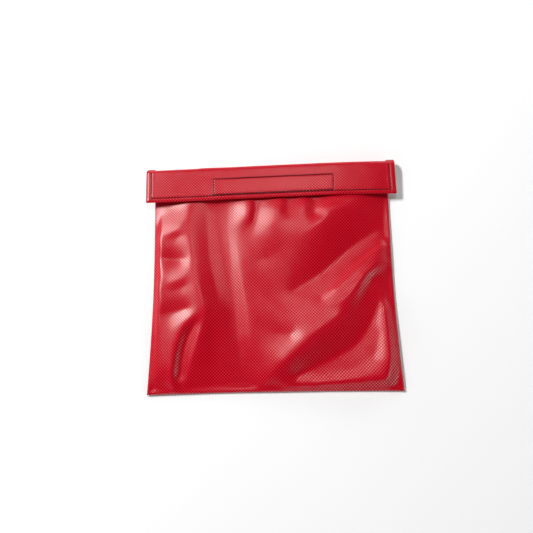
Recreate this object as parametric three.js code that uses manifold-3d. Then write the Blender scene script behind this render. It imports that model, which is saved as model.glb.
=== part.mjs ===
// Flat storage pouch of coated vinyl with a flap that closes on hook-and-loop tape.
// Millimetres, +Z up. The pouch lies on its back: +X is across it, +Y runs from the bottom seam to the flap's
// fold, and the origin is under the middle of its box. The back, the fold and the flap are one cut of cloth,
// parted here along the two lines where it bends.
import * as THREE from "three";
import { mergeVertices } from "three/addons/utils/BufferGeometryUtils.js";
import Module from "manifold-3d";

const wasm = await Module();
wasm.setup();

// Cloth and tape
const PLY = 0.6; // coated cloth
const GAP = 0.3; // air between two plies
const TAPE = 1.0; // hook or loop tape with its pile
const THREAD = 0.3;
const THREAD_GAP = 0.2;

// The body: two panels sewn on three sides and turned right side out
const LENGTH = 235; // bottom edge to the outside of the flap's fold
const BODY_HALF = 125;
const SIDE_BOW = 3; // how far the full body pulls its sides in
const BOTTOM_BOW = 1.2;
const SEAM_ALLOWANCE = 8.5; // seam turned inside, two plies
const WALL = 1.8; // from the edge to the turned-in seam, with the stitching between
const EDGE_HEIGHT = 3; // front panel over the turned-in seam
const PUFF = 11.5; // how far the front stands above its edges
const PUFF_RISE = 35;
const MOUTH_HEIGHT = 8; // top of the front panel at the mouth
const MOUTH_SHARE = (MOUTH_HEIGHT - EDGE_HEIGHT) / PUFF;
const MOUTH_FLAT = 80; // the front is level from here to the mouth
const MOUTH_RISE = 42;
const MOUTH_HEM = 12;
const MOUTH_HEM_STITCH = 8.5;
const MOUTH_TO_FOLD = 4;
const SHOULDER = 10; // the back widens to the flap's width over this length

// The flap
const FLAP_HALF = 130.5;
const FLAP_DEPTH = 37.5; // from the outside of the fold to the lower edge
const SIDE_HEM = 8;
const LOWER_HEM = 8;
const SIDE_HEM_STITCH = 5.3;
const LOWER_HEM_STITCH = 4.4;
const CORNER = 1.5;

// Hook and loop tapes, sewn round their edges
const TAPE_LENGTH = 127;
const TAPE_WIDTH = 19;
const TAPE_X = 4; // sewn on a little off the middle
const TAPE_ABOVE_EDGE = 4.75; // flap's lower edge to the tape
const TAPE_PARTING = 0.6; // between the closed tapes
const HOOK_STITCH_INSET = 0.8;
const LOOP_STITCH_INSET = 1.5;

// Levels of the closed stack at the mouth
const LOOP_BASE = MOUTH_HEIGHT + GAP;
const HOOK_BASE = LOOP_BASE + TAPE + TAPE_PARTING;
const HEM_BASE = HOOK_BASE + TAPE + GAP;
const FLAP_BASE = HEM_BASE + PLY + GAP;

// The fold stands on the back's end, between two hinge lines at the middle of the cloth
const HINGE_LOW = PLY / 2;
const HINGE_HIGH = FLAP_BASE + PLY / 2;
const HINGE_RELIEF = 0.6; // from a hinge line to the cloth on either side

const Y_FRONT = -LENGTH / 2;
const Y_FOLD = LENGTH / 2 - PLY / 2;
const Y_MOUTH = Y_FOLD - MOUTH_TO_FOLD;
const Y_FLAP_EDGE = LENGTH / 2 - FLAP_DEPTH;
const Y_TAPE = Y_FLAP_EDGE + TAPE_ABOVE_EDGE;
const Y_HEM_TOP = Y_FOLD - 1;

const smooth = (t) => THREE.MathUtils.smoothstep(t, 0, 1);
const bell = (t) => Math.max(0, 1 - t * t);

// Where a point of the flat, square-cut body goes once its edges are bowed
function bowed(u, v) {
  const along = Math.min(1, (v - Y_FRONT) / (Y_MOUTH - Y_FRONT));
  const side = SIDE_BOW * bell(2 * along - 1);
  const bottom = BOTTOM_BOW * bell(u / BODY_HALF) * (1 - along);
  return [u * (1 - side / BODY_HALF), v + bottom];
}

// Top of the front panel, level over the seams and full in the middle
function frontTop(u, v) {
  const side = smooth((BODY_HALF - Math.abs(u) - WALL - SEAM_ALLOWANCE) / PUFF_RISE);
  const bottom = smooth((v - Y_FRONT - WALL - SEAM_ALLOWANCE) / PUFF_RISE);
  const mouth = smooth((v - MOUTH_FLAT + MOUTH_RISE) / MOUTH_RISE);
  return EDGE_HEIGHT + PUFF * side * bottom * (1 - mouth * (1 - MOUTH_SHARE));
}

const level = (z) => () => z;

// A ply of cloth: a box of many cells whose top and bottom follow two height functions
function ply(u0, u1, v0, v1, cells, low, high, place = bowed) {
  const geometry = new THREE.BoxGeometry(u1 - u0, v1 - v0, 2, cells[0], cells[1], 1);
  const at = geometry.attributes.position;
  for (let i = 0; i < at.count; i += 1) {
    const u = at.getX(i) + (u0 + u1) / 2;
    const v = at.getY(i) + (v0 + v1) / 2;
    const height = at.getZ(i) > 0 ? high : low;
    at.setXYZ(i, ...place(u, v), height(u, v));
  }
  return geometry;
}

const square = (u, v) => [u, v];

// The back's outline, bowed with the front and drawn out to the flap's width past the mouth
function shouldered(u, v) {
  const [x, y] = bowed(u, v);
  const out = smooth((v - Y_MOUTH + SHOULDER) / SHOULDER);
  return [x * (1 + out * (FLAP_HALF / BODY_HALF - 1)), y];
}

function solidOf(geometry) {
  const bare = geometry.clone();
  bare.deleteAttribute("normal");
  bare.deleteAttribute("uv");
  const merged = mergeVertices(bare, 1e-4);
  return new wasm.Manifold(
    new wasm.Mesh({
      numProp: 3,
      vertProperties: new Float32Array(merged.attributes.position.array),
      triVerts: new Uint32Array(merged.index.array),
    }),
  );
}

function geometryOf(solid) {
  const mesh = solid.getMesh();
  const geometry = new THREE.BufferGeometry();
  geometry.setAttribute("position", new THREE.BufferAttribute(mesh.vertProperties, 3));
  geometry.setIndex(new THREE.BufferAttribute(mesh.triVerts, 1));
  geometry.computeVertexNormals();
  return geometry;
}

// The front panel: its outer block less the hollow under it, open at the mouth
function frontPanel() {
  const floor = PLY + GAP;
  const cells = [30, 26];
  const outer = ply(-BODY_HALF, BODY_HALF, Y_FRONT, Y_MOUTH, cells, level(floor), frontTop);
  const hollow = ply(
    -BODY_HALF + PLY,
    BODY_HALF - PLY,
    Y_FRONT + PLY,
    Y_MOUTH + 1,
    cells,
    level(0),
    (u, v) => frontTop(u, v) - PLY,
  );
  return geometryOf(solidOf(outer).subtract(solidOf(hollow)));
}

// A flat run of stitching: an outline of the thread's width along a list of corners, closed ones anticlockwise
function seamLine(corners, base, closed) {
  const outline = (side) =>
    corners.map(([x, y], i) => {
      const before = corners[(i + corners.length - 1) % corners.length];
      const after = corners[(i + 1) % corners.length];
      const from = closed || i > 0 ? before : [2 * x - after[0], 2 * y - after[1]];
      const to = closed || i < corners.length - 1 ? after : [2 * x - before[0], 2 * y - before[1]];
      const back = new THREE.Vector2(x - from[0], y - from[1]).normalize();
      const on = new THREE.Vector2(to[0] - x, to[1] - y).normalize();
      const miter = new THREE.Vector2(-back.y - on.y, back.x + on.x);
      miter.multiplyScalar((side * THREAD) / (1 + back.dot(on)) / 2);
      return new THREE.Vector2(x + miter.x, y + miter.y);
    });
  const shape = closed
    ? new THREE.Shape(outline(-1))
    : new THREE.Shape([...outline(-1), ...outline(1).reverse()]);
  if (closed) shape.holes.push(new THREE.Path(outline(1)));
  const geometry = new THREE.ExtrudeGeometry(shape, { depth: THREAD, bevelEnabled: false });
  return geometry.translate(0, 0, base);
}

function tapeStitching(inset, base) {
  const left = TAPE_X - TAPE_LENGTH / 2 + inset;
  const right = TAPE_X + TAPE_LENGTH / 2 - inset;
  const low = Y_TAPE + inset;
  const high = Y_TAPE + TAPE_WIDTH - inset;
  return seamLine(
    [
      [left, low],
      [right, low],
      [right, high],
      [left, high],
    ],
    base,
    true,
  );
}

function flapStitching(base) {
  const side = FLAP_HALF - SIDE_HEM_STITCH;
  const low = Y_FLAP_EDGE + LOWER_HEM_STITCH;
  return seamLine(
    [
      [-side, Y_HEM_TOP],
      [-side, low],
      [side, low],
      [side, Y_HEM_TOP],
    ],
    base,
    false,
  );
}

// The seam that closes the body, inside the turned edge on three sides
function bodyStitching(base) {
  const inset = PLY + GAP + THREAD / 2;
  const side = BODY_HALF - inset;
  const low = Y_FRONT + inset;
  const top = Y_MOUTH - 1;
  const steps = 12;
  const run = [];
  for (let i = 0; i <= steps; i += 1) run.push([-side, THREE.MathUtils.lerp(top, low, i / steps)]);
  for (let i = 1; i <= steps; i += 1) run.push([THREE.MathUtils.lerp(-side, side, i / steps), low]);
  for (let i = 1; i <= steps; i += 1) run.push([side, THREE.MathUtils.lerp(low, top, i / steps)]);
  return seamLine(
    run.map(([u, v]) => bowed(u, v)),
    base,
    false,
  );
}

// Turned-in seam: both panels' edges, one on the other
function seamAllowance(u0, u1, v0, v1, cells) {
  return ply(u0, u1, v0, v1, cells, level(PLY + GAP), level(3 * PLY + GAP));
}

// One ply of the flap's turned hem, under the flap
function flapHem(u0, u1, v0, v1) {
  return ply(u0, u1, v0, v1, [1, 1], level(HEM_BASE), level(HEM_BASE + PLY), square);
}

// The flap's single ply, with its two lower corners rounded
function flapPanel() {
  const top = Y_FOLD - HINGE_RELIEF;
  const shape = new THREE.Shape();
  shape.moveTo(FLAP_HALF, top);
  shape.lineTo(-FLAP_HALF, top);
  shape.lineTo(-FLAP_HALF, Y_FLAP_EDGE + CORNER);
  shape.quadraticCurveTo(-FLAP_HALF, Y_FLAP_EDGE, -FLAP_HALF + CORNER, Y_FLAP_EDGE);
  shape.lineTo(FLAP_HALF - CORNER, Y_FLAP_EDGE);
  shape.quadraticCurveTo(FLAP_HALF, Y_FLAP_EDGE, FLAP_HALF, Y_FLAP_EDGE + CORNER);
  const geometry = new THREE.ExtrudeGeometry(shape, {
    depth: PLY,
    bevelEnabled: false,
    curveSegments: 4,
  });
  return geometry.translate(0, 0, FLAP_BASE);
}

function tapeStrip(base) {
  const geometry = new THREE.BoxGeometry(TAPE_LENGTH, TAPE_WIDTH, TAPE);
  return geometry.translate(TAPE_X, Y_TAPE + TAPE_WIDTH / 2, base + TAPE / 2);
}

// A run of stitching across the front panel at the mouth's hem, over or under the cloth
function mouthStitching(offset) {
  const v = Y_MOUTH - MOUTH_HEM_STITCH;
  const reach = BODY_HALF - WALL - SEAM_ALLOWANCE - 2;
  const low = (u) => frontTop(u, v) + offset;
  return ply(-reach, reach, v, v + THREAD, [24, 1], low, (u) => low(u) + THREAD);
}

function mouthHem() {
  const reach = BODY_HALF - WALL - SEAM_ALLOWANCE - GAP;
  const top = (u, v) => frontTop(u, v) - PLY - GAP;
  const low = (u, v) => top(u, v) - PLY;
  return ply(-reach, reach, Y_MOUTH - MOUTH_HEM, Y_MOUTH - GAP, [24, 2], low, top);
}

const cloth = () => new THREE.MeshStandardMaterial({ color: 0xc4061f, roughness: 0.35, metalness: 0 });
const blackTape = () => new THREE.MeshStandardMaterial({ color: 0x151416, roughness: 0.85, metalness: 0 });
const blackThread = () => new THREE.MeshStandardMaterial({ color: 0x1c1718, roughness: 0.6, metalness: 0 });
const redThread = () => new THREE.MeshStandardMaterial({ color: 0x8e0f1e, roughness: 0.6, metalness: 0 });

const pouch = new THREE.Group();

function add(name, geometry, material, parent = pouch) {
  const mesh = new THREE.Mesh(geometry, material);
  mesh.name = name;
  parent.add(mesh);
  return mesh;
}

// Body: back, front, turned-in seams and the mouth's hem
const seamIn = BODY_HALF - WALL;
const seamOut = seamIn - SEAM_ALLOWANCE;
const seamLow = Y_FRONT + WALL;
const seamTop = Y_MOUTH - GAP;
add(
  "back_panel",
  ply(-BODY_HALF, BODY_HALF, Y_FRONT, Y_FOLD - HINGE_RELIEF, [12, 24], level(0), level(PLY), shouldered),
  cloth(),
);
add("front_panel", frontPanel(), cloth());
add("left_seam_allowance", seamAllowance(-seamIn, -seamOut, seamLow, seamTop, [1, 12]), cloth());
add("right_seam_allowance", seamAllowance(seamOut, seamIn, seamLow, seamTop, [1, 12]), cloth());
add(
  "bottom_seam_allowance",
  seamAllowance(-seamOut + GAP, seamOut - GAP, seamLow, seamLow + SEAM_ALLOWANCE, [12, 1]),
  cloth(),
);
add("mouth_hem", mouthHem(), cloth());

// Threads of the body
const UNDER_HEM = -2 * PLY - GAP - THREAD_GAP - THREAD; // from the front's top to a thread under its hem
const seamThreadBase = PLY + GAP + THREAD_GAP;
add("body_seam_needle_thread", bodyStitching(seamThreadBase + THREAD + GAP), redThread());
add("body_seam_bobbin_thread", bodyStitching(seamThreadBase), redThread());
add("mouth_hem_needle_thread", mouthStitching(THREAD_GAP), blackThread());
add(
  "mouth_hem_bobbin_thread",
  mouthStitching(UNDER_HEM),
  blackThread(),
);

// Loop tape on the front panel, under the flap
add("loop_tape", tapeStrip(LOOP_BASE), blackTape());
add(
  "loop_tape_needle_thread",
  tapeStitching(LOOP_STITCH_INSET, LOOP_BASE + TAPE + THREAD_GAP / 2),
  blackThread(),
);
add(
  "loop_tape_bobbin_thread",
  tapeStitching(LOOP_STITCH_INSET, MOUTH_HEIGHT + UNDER_HEM),
  blackThread(),
);

// The fold between the back and the flap
const foldHeight = HINGE_HIGH - HINGE_LOW - 2 * HINGE_RELIEF;
const fold = add("flap_fold", new THREE.BoxGeometry(2 * FLAP_HALF, PLY, foldHeight), cloth());
fold.position.set(0, Y_FOLD, (HINGE_HIGH + HINGE_LOW) / 2);

// Flap: one ply, its turned hems, the hook tape and their threads
add("flap_panel", flapPanel(), cloth());
add("flap_left_hem", flapHem(-FLAP_HALF, -FLAP_HALF + SIDE_HEM, Y_FLAP_EDGE, Y_HEM_TOP), cloth());
add("flap_right_hem", flapHem(FLAP_HALF - SIDE_HEM, FLAP_HALF, Y_FLAP_EDGE, Y_HEM_TOP), cloth());
add(
  "flap_lower_hem",
  flapHem(
    -FLAP_HALF + SIDE_HEM + GAP,
    FLAP_HALF - SIDE_HEM - GAP,
    Y_FLAP_EDGE,
    Y_FLAP_EDGE + LOWER_HEM,
  ),
  cloth(),
);
add("flap_hem_needle_thread", flapStitching(FLAP_BASE + PLY + THREAD_GAP), blackThread());
add("flap_hem_bobbin_thread", flapStitching(HEM_BASE - THREAD_GAP - THREAD), blackThread());
add("hook_tape", tapeStrip(HOOK_BASE), blackTape());
add(
  "hook_tape_needle_thread",
  tapeStitching(HOOK_STITCH_INSET, FLAP_BASE + PLY + THREAD_GAP),
  blackThread(),
);
add(
  "hook_tape_bobbin_thread",
  tapeStitching(HOOK_STITCH_INSET, HOOK_BASE - THREAD_GAP / 2 - THREAD),
  blackThread(),
);

export default pouch;
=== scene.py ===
"""Flat pouch of coated vinyl cloth with a hook-and-loop flap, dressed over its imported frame."""

import math

import bpy
import numpy as np
from bpy.props import FloatProperty, FloatVectorProperty, IntProperty, PointerProperty
from mathutils import Matrix, Vector


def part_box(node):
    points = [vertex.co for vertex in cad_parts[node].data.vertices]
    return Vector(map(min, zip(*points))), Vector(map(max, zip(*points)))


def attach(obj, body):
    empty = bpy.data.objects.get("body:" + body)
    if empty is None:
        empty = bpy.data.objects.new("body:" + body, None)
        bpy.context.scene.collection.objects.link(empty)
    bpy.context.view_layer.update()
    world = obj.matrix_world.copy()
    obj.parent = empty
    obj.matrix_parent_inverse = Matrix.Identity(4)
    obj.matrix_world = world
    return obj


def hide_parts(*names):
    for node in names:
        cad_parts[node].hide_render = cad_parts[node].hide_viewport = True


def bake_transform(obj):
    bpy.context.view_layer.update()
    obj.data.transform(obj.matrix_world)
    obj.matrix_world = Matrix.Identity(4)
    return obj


bl_info = {
    "name": "Vinyl Pouch",
    "version": (1, 0, 0),
    "blender": (4, 5, 0),
    "location": "3D View > Sidebar > Pouch",
    "description": "Cloth, hems, tapes and stitching of a flat vinyl pouch",
    "category": "Object",
}

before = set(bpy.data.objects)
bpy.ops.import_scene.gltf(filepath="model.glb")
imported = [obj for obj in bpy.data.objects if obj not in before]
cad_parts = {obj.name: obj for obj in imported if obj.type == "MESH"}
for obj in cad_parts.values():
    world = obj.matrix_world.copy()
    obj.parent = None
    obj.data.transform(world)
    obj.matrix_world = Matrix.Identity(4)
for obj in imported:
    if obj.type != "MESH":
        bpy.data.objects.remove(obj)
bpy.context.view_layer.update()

# Sizes that come from the frame, in metres
MM = 0.001
BACK_LOW, BACK_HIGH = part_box("back_panel")
FRONT_LOW, FRONT_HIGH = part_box("front_panel")
FOLD_LOW, FOLD_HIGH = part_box("flap_fold")
FLAP_LOW, FLAP_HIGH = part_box("flap_panel")
HEM_LOW, HEM_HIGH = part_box("flap_lower_hem")
MOUTH_HEM_LOW, MOUTH_HEM_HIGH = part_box("mouth_hem")
HOOK_LOW, HOOK_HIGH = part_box("hook_tape")
LOOP_LOW, LOOP_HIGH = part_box("loop_tape")

PLY = BACK_HIGH.z - BACK_LOW.z
BODY_HALF = FRONT_HIGH.x
BODY_END = FRONT_LOW.y
MOUTH = FRONT_HIGH.y
FOLD_FACE = FOLD_HIGH.y
FLAP_HALF = FLAP_HIGH.x
FLAP_EDGE = FLAP_LOW.y
FLAP_TOP = FLAP_HIGH.z
HEM_BOTTOM = HEM_LOW.z

# The body's outline, as the frame bows it
SIDE_BOW = 3 * MM
BOTTOM_BOW = 1.2 * MM
SHOULDER = 10 * MM

# Edges and folds
EDGE_ROLL = 2.2 * MM  # width over which the front rolls down into the seam
BACK_ROLL = 1.6 * MM
SEAM_HEIGHT = 0.75 * MM
SEAM_LIFT = 0.9 * MM  # how far the seams rise off the table between the points they rest on
FRONT_EDGE = 2.9 * MM  # the front over its seams
MOUTH_TOP = 8.0 * MM
MOUTH_SLOPE = 45 * MM
FOLD_RADIUS = 5.3 * MM
CREASE_GAIN = 1.4  # how far the creases stand out of the middle height
CREASE_MIDDLE = 7.2 * MM
FLAP_FADE = 16 * MM  # below the flap's edge, where the creases reach their full depth
SEAM_FADE = 8 * MM
LIP = (FLAP_TOP - HEM_BOTTOM) / 2  # outer radius of a turned edge

# How finely the cloth is laid out
CLOTH_STEP = 1.25 * MM
BACK_STEP = 2.5 * MM
HEM_STEP = 1.5 * MM
MITRE_GAP = 0.3 * MM  # between two turned edges at the flap's corners

# Stitch lines
TAPE_STITCH_INSET = 0.8 * MM
LOOP_STITCH_INSET = 1.5 * MM
LOWER_HEM_STITCH = 4.4 * MM
SIDE_HEM_STITCH = 5.3 * MM
MOUTH_HEM_STITCH = 8.5 * MM
SIDE_HEM = 8 * MM

# How the limp cloth lies: creases and dips as runs of (x, y, height), in millimetres
FRONT_FOLDS = {
    "left edge": [(-118, 108, 4.0), (-118, 78, 3.6), (-118, 47, 7.6), (-118, 40, 8.6), (-118, 20, 8.0),
                  (-118, -6, 8.8), (-118, -14, 9.2), (-118, -38, 8.6), (-118, -60, 7.0), (-118, -104, 5.8)],
    "right edge": [(118, 108, 3.6), (119, 60, 3.8), (119, 36, 3.8)],
    "left ridge": [(-86, 104, 7.4), (-86, 78, 7.6), (-86, 62, 8.8), (-84, 40, 9.6), (-82, 15, 9.8),
                   (-77, -12, 11.4), (-68, -36, 11.6)],
    "ridge slope": [(-66, 78, 5.6), (-66, 42, 6.0), (-64, 15, 6.2), (-55, -24, 6.6)],
    "valley": [(-55, 78, 5.6), (-54, 42, 5.4), (-50, 15, 5.2), (-42, -27, 4.8), (-36, -66, 4.4),
               (-30, -98, 3.8), (-18, -115, 3.2)],
    "valley wall": [(-45, 78, 6.2), (-45, 42, 6.0), (-41, 15, 5.9), (-34, -27, 5.8), (-29, -66, 5.6),
                    (-24, -98, 4.4)],
    "chevron": [(-38, 78, 7.2), (-38, 42, 6.9), (-34, 15, 7.4), (-27, -27, 7.6), (-23, -66, 7.2),
                (-18, -98, 5.6)],
    "upper left foot": [(-118, 78, 4.0), (-104, 78, 4.8), (-94, 80, 6.6)],
    "upper left crest": [(-118, 47, 7.6), (-106, 46, 9.0), (-94, 52, 9.6)],
    "upper left drop": [(-118, 40, 8.6), (-106, 40, 8.3), (-96, 42, 8.5)],
    "middle left foot": [(-118, 20, 8.0), (-104, 19, 7.2), (-93, 17, 7.6)],
    "middle left crest": [(-118, -7, 8.8), (-103, -8, 10.2), (-90, -2, 10.8)],
    "middle left drop": [(-118, -14, 9.2), (-103, -15, 9.4), (-90, -11, 9.9)],
    "lower left dip": [(-118, -38, 8.6), (-104, -38, 8.2), (-88, -34, 8.9)],
    "left crease": [(-72, -38, 11.2), (-88, -50, 10.6), (-96, -72, 9.8), (-99, -96, 9.2), (-97, -113, 5.6)],
    "left crease foot": [(-78, -48, 9.0), (-87, -62, 7.2), (-92, -82, 6.0), (-94, -104, 4.8)],
    "second crease": [(-68, -42, 11.0), (-73, -60, 10.2), (-81, -84, 8.4), (-87, -108, 5.4)],
    "wedge": [(-62, -50, 9.0), (-60, -74, 6.4), (-56, -100, 4.4)],
    "long crease": [(-15, -114, 3.8), (-2, -102, 9.0), (14, -88, 12.6), (42, -63, 14.2), (70, -44, 13.4)],
    "lower right dip": [(22, -103, 5.8), (54, -88, 6.4), (82, -74, 6.6), (98, -54, 6.8), (108, -34, 6.4)],
    "lower right rise": [(40, -106, 6.8), (76, -98, 8.0), (98, -84, 8.8), (106, -60, 8.6)],
    "right corner": [(113, -34, 7.6), (114, -60, 10.0), (113, -90, 12.2), (108, -107, 11.4), (80, -110, 9.8),
                     (40, -112, 7.8), (10, -113, 5.8)],
    "upper right ridge": [(-6, 14, 8.2), (26, 34, 10.8), (54, 52, 12.8), (80, 72, 11.8), (100, 84, 8.0)],
    "upper right dip": [(22, -20, 7.4), (54, 0, 6.0), (86, 28, 5.2), (114, 44, 4.4)],
    "first crease foot": [(108, 26, 6.2), (88, 9, 8.0), (66, -11, 9.0), (48, -25, 9.0)],
    "first right crease": [(117, 26, 6.6), (109, 20, 8.8), (88, 1, 11.0), (66, -19, 11.8), (50, -31, 10.4)],
    "second crease foot": [(108, 12, 9.2), (90, -5, 11.4), (74, -24, 12.2)],
    "second right crease": [(120, 9, 5.6), (107, 7, 10.2), (89, -12, 12.8), (73, -32, 13.6), (58, -41, 12.4)],
    "right crease drop": [(114, -6, 5.6), (104, -6, 7.4), (96, -22, 8.6), (86, -42, 9.6)],
    "middle": [(-22, -6, 7.9), (-8, -24, 8.2), (14, -42, 9.4)],
    "middle brow": [(-16, -54, 8.0), (2, -62, 9.0), (20, -62, 10.2)],
    "first ripple": [(-21, 78, 9.9), (-23, 58, 9.6)],
    "first hollow": [(-13, 78, 7.6), (-17, 58, 7.8), (-20, 44, 7.8)],
    "second ripple": [(12, 78, 10.8), (7, 56, 11.4), (0, 36, 10.0)],
    "second hollow": [(20, 78, 8.6), (17, 62, 9.6)],
    "third ripple": [(36, 78, 10.8), (36, 66, 11.0)],
    "third hollow": [(46, 78, 8.2), (46, 60, 9.6)],
    "fourth ripple": [(67, 78, 11.6), (60, 58, 13.2)],
    "loop tape upper": [(-62, 106, 7.9), (70, 106, 7.9)],
    "loop tape middle": [(-62, 96, 7.8), (70, 96, 7.8)],
    "loop tape lower": [(-62, 86, 7.9), (70, 86, 7.9)],
}

# Heights over the flap's level, closed
FLAP_FOLDS = {
    "left end": [(-130, 80, -2.2), (-130, 98, -0.9), (-130, 115, -0.2)],
    "left shoulder": [(-108, 80, -2.3), (-108, 98, -0.8), (-108, 115, -0.1)],
    "left bump": [(-94, 80, -2.3), (-88, 98, -0.9), (-84, 115, -0.2)],
    "left fall": [(-68, 80, -1.7), (-69, 98, -1.0), (-70, 115, -0.6)],
    "left of the tape": [(-57, 80, -1.0), (-58, 98, -0.8), (-58, 115, -1.0)],
    "tape left": [(-38, 80, -0.7), (-38, 98, -0.8), (-38, 115, -1.0)],
    "tape middle": [(4, 80, -0.3), (6, 98, -0.5), (6, 115, -0.6)],
    "tape right": [(48, 80, -0.1), (50, 98, -0.2), (54, 115, -0.3)],
    "right ridge": [(62, 80, -0.2), (68, 98, -0.1), (74, 115, -0.1)],
    "right fall": [(90, 80, -1.4), (96, 98, -1.2), (100, 115, -0.8)],
    "right shoulder": [(112, 80, -2.7), (114, 115, -1.7)],
    "right end": [(130, 80, -4.4), (130, 115, -3.0)],
}


# Cloth surfaces
def smooth(t):
    t = np.clip(t, 0, 1)
    return t * t * (3 - 2 * t)


def curvature(h):
    padded = np.pad(h, 1, mode="edge")
    return padded[:-2, 1:-1] + padded[2:, 1:-1] + padded[1:-1, :-2] + padded[1:-1, 2:] - 4 * h


def resample(table, rows, columns):
    """A table stretched to another number of rows and columns, by straight lines."""
    for axis, count in ((0, rows), (1, columns)):
        at = np.linspace(0, table.shape[axis] - 1, count)
        low = np.minimum(at.astype(int), table.shape[axis] - 2)
        share = np.expand_dims(at - low, 1 - axis)
        below = np.take(table, low, axis)
        above = np.take(table, low + 1, axis)
        table = below + (above - below) * share
    return table


class Relief:
    """The heights of one limp panel, in metres, found as a thin stiff sheet drawn over its creases."""

    def __init__(self, corner, far, spacing, folds, rim, stiffness=6.0, hold=3.0, load=0.004):
        self.corner = np.array(corner, float)
        self.far = np.array(far, float)
        self.folds = [np.array(run, float) * MM for run in folds.values()]
        self.rim = rim
        self.stiffness = stiffness
        self.hold = hold
        self.load = load
        heights = None
        for coarse in (8, 4, 2, 1):
            heights = self.settle(spacing * coarse, heights)
        self.heights = heights

    def settle(self, spacing, before):
        columns, rows = np.rint((self.far - self.corner) / spacing).astype(int) + 1
        x = np.linspace(self.corner[0], self.far[0], columns)
        y = np.linspace(self.corner[1], self.far[1], rows)
        across, along = np.meshgrid(x, y)
        target, creased = self.cast(across.shape, spacing)
        fixed, level = self.rim(across, along)
        start = level / MM if before is None else resample(before, rows, columns)
        start = np.where(fixed, level / MM, start)
        return self.relax(start, target, creased, fixed, spacing / MM)

    def cast(self, shape, spacing):
        """The cells that the creases run through, and the height each asks for, in millimetres."""
        total = np.zeros(shape)
        count = np.zeros(shape)
        for run in self.folds:
            for a, b in zip(run[:-1], run[1:]):
                steps = max(2, int(np.hypot(*(b - a)[:2]) / (0.4 * spacing)))
                points = a + (b - a) * np.linspace(0, 1, steps)[:, None]
                cells = np.rint((points[:, :2] - self.corner) / spacing).astype(int)
                row = np.clip(cells[:, 1], 0, shape[0] - 1)
                column = np.clip(cells[:, 0], 0, shape[1] - 1)
                np.add.at(total, (row, column), points[:, 2] / MM)
                np.add.at(count, (row, column), 1)
        return total / np.maximum(count, 1), count > 0

    def relax(self, start, target, creased, fixed, cell, steps=320):
        """Conjugate gradients on the sheet's tension, stiffness and hold, in millimetres."""
        pull = creased * self.hold * cell * cell
        bend = self.stiffness / (cell * cell)

        def force(h):
            flat = curvature(h)
            out = bend * curvature(flat) - flat + pull * h
            out[fixed] = 0
            return out

        h = start.copy()
        rest = pull * target + self.load * cell * cell - force(h)
        rest[fixed] = 0
        step = rest.copy()
        size = (rest * rest).sum()
        for _ in range(steps):
            push = force(step)
            reach = size / max((step * push).sum(), 1e-30)
            h += reach * step
            rest -= reach * push
            now = (rest * rest).sum()
            if now < 1e-9 * h.size:
                break
            step = rest + (now / size) * step
            size = now
        return h

    def deepen(self, gain, middle, edge):
        """Stand the creases further out, but not under the flap nor at the seams."""
        y = np.linspace(self.corner[1], self.far[1], self.heights.shape[0])[:, None]
        x = np.linspace(self.corner[0], self.far[0], self.heights.shape[1])[None, :]
        from_seam = np.minimum(self.far[0] - np.abs(x), y - self.corner[1])
        share = smooth((edge - y) / FLAP_FADE) * smooth(from_seam / SEAM_FADE)
        self.heights += (self.heights - middle / MM) * (gain - 1) * share

    def __call__(self, x, y):
        """Heights at points of the panel, in metres."""
        rows, columns = self.heights.shape
        at = (np.asarray(x) - self.corner[0]) / (self.far[0] - self.corner[0]) * (columns - 1)
        up = (np.asarray(y) - self.corner[1]) / (self.far[1] - self.corner[1]) * (rows - 1)
        at, up = np.broadcast_arrays(np.clip(at, 0, columns - 1), np.clip(up, 0, rows - 1))
        i = np.minimum(up.astype(int), rows - 2)
        j = np.minimum(at.astype(int), columns - 2)
        s = up - i
        t = at - j
        h = self.heights
        low = h[i, j] * (1 - t) + h[i, j + 1] * t
        high = h[i + 1, j] * (1 - t) + h[i + 1, j + 1] * t
        return (low * (1 - s) + high * s) * MM


def front_rim(x, y):
    """The front is held at its seams and along its mouth."""
    fixed = np.zeros(x.shape, bool)
    fixed[:, 0] = fixed[:, -1] = fixed[0, :] = fixed[-1, :] = True
    mouth = FRONT_EDGE + (MOUTH_TOP - FRONT_EDGE) * smooth((BODY_HALF - np.abs(x)) / MOUTH_SLOPE)
    level = np.where(y > MOUTH - 1e-6, mouth, FRONT_EDGE)
    return fixed, np.where(fixed, level, MOUTH_TOP)


def free_rim(x, y):
    return np.zeros(x.shape, bool), np.zeros(x.shape)


front_relief = Relief((-BODY_HALF, BODY_END), (BODY_HALF, MOUTH), CLOTH_STEP, FRONT_FOLDS, front_rim)
front_relief.deepen(CREASE_GAIN, CREASE_MIDDLE, FLAP_EDGE)
flap_relief = Relief((-FLAP_HALF, FLAP_EDGE), (FLAP_HALF, FOLD_FACE), CLOTH_STEP, FLAP_FOLDS, free_rim,
                     stiffness=60.0, load=0.0)


def bowed(u, v):
    """Where a point of the square cut lies once the full body draws its edges in."""
    along = np.minimum((v - BODY_END) / (MOUTH - BODY_END), 1)
    side = SIDE_BOW * np.maximum(1 - (2 * along - 1) ** 2, 0)
    bottom = BOTTOM_BOW * np.maximum(1 - (u / BODY_HALF) ** 2, 0) * (1 - along)
    return u * (1 - side / BODY_HALF), v + bottom


def seam_lift(u, v):
    """How far the seamed edge stands off the table."""
    run = 1.3 * np.sin(v / (19 * MM)) + np.sin(u / (23 * MM) + 1) + np.sin((u + v) / (41 * MM))
    return SEAM_LIFT * smooth(run / 3.3 + 0.4)


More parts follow.
